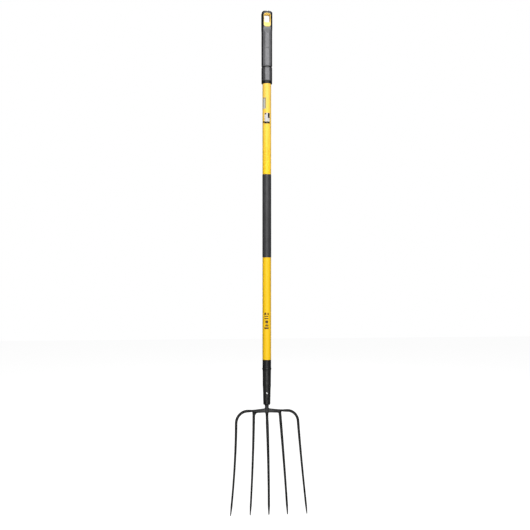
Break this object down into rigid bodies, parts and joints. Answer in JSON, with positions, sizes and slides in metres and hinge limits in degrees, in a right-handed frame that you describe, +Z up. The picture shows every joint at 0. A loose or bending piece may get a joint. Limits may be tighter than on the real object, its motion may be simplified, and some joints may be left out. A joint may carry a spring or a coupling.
{
  "type": "long-handled manure fork",
  "caption": "Long straight-shafted fork with slender bowed tines on a welded crossbar, a sleeve grip and an end grip with a hang hole, for lifting bedding and compost.",
  "frame": {"origin": "middle of the flat bearing facet at the top of the hang hole, on the shaft's axis", "axes": "+Z up along the shaft, from the tines to the end grip; -Y is the side the tines bow towards; +X is to the right seen from -Y"},
  "size_m": [0.2314, 0.0776, 1.5241],
  "materials": {
    "grip_rubber": "soft-touch moulded rubber with fine texture",
    "core_plastic": "satin moulded",
    "tube_fibreglass": "pultruded glass fibre and resin",
    "jacket_plastic": "smooth semi-gloss",
    "sleeve_rubber": "smooth satin",
    "label_film": "printed film",
    "sticker_film": "printed film",
    "collar_plastic": "satin moulded",
    "ferrule_enamel": "satin black enamel on steel",
    "dowel_wood": "turned hardwood",
    "rivet_steel": "bright steel",
    "tine_enamel": "satin black enamel on forged steel"
  },
  "bodies": {
    "root": {"end_grip_overmould": "grip_rubber", "end_grip_core": "core_plastic", "shaft_tube": "tube_fibreglass", "shaft_jacket_upper": "jacket_plastic", "shaft_jacket_lower": "jacket_plastic", "mid_grip_sleeve": "sleeve_rubber", "grey_label": "label_film", "white_sticker": "sticker_film", "ferrule_collar": "collar_plastic", "ferrule": "ferrule_enamel", "core_dowel": "dowel_wood", "ferrule_rivet": "rivet_steel", "centre_tine_and_tang": "tine_enamel", "inner_tine_left": "tine_enamel", "inner_tine_right": "tine_enamel", "outer_tine_left": "tine_enamel", "outer_tine_right": "tine_enamel"}
  },
  "joints": []
}
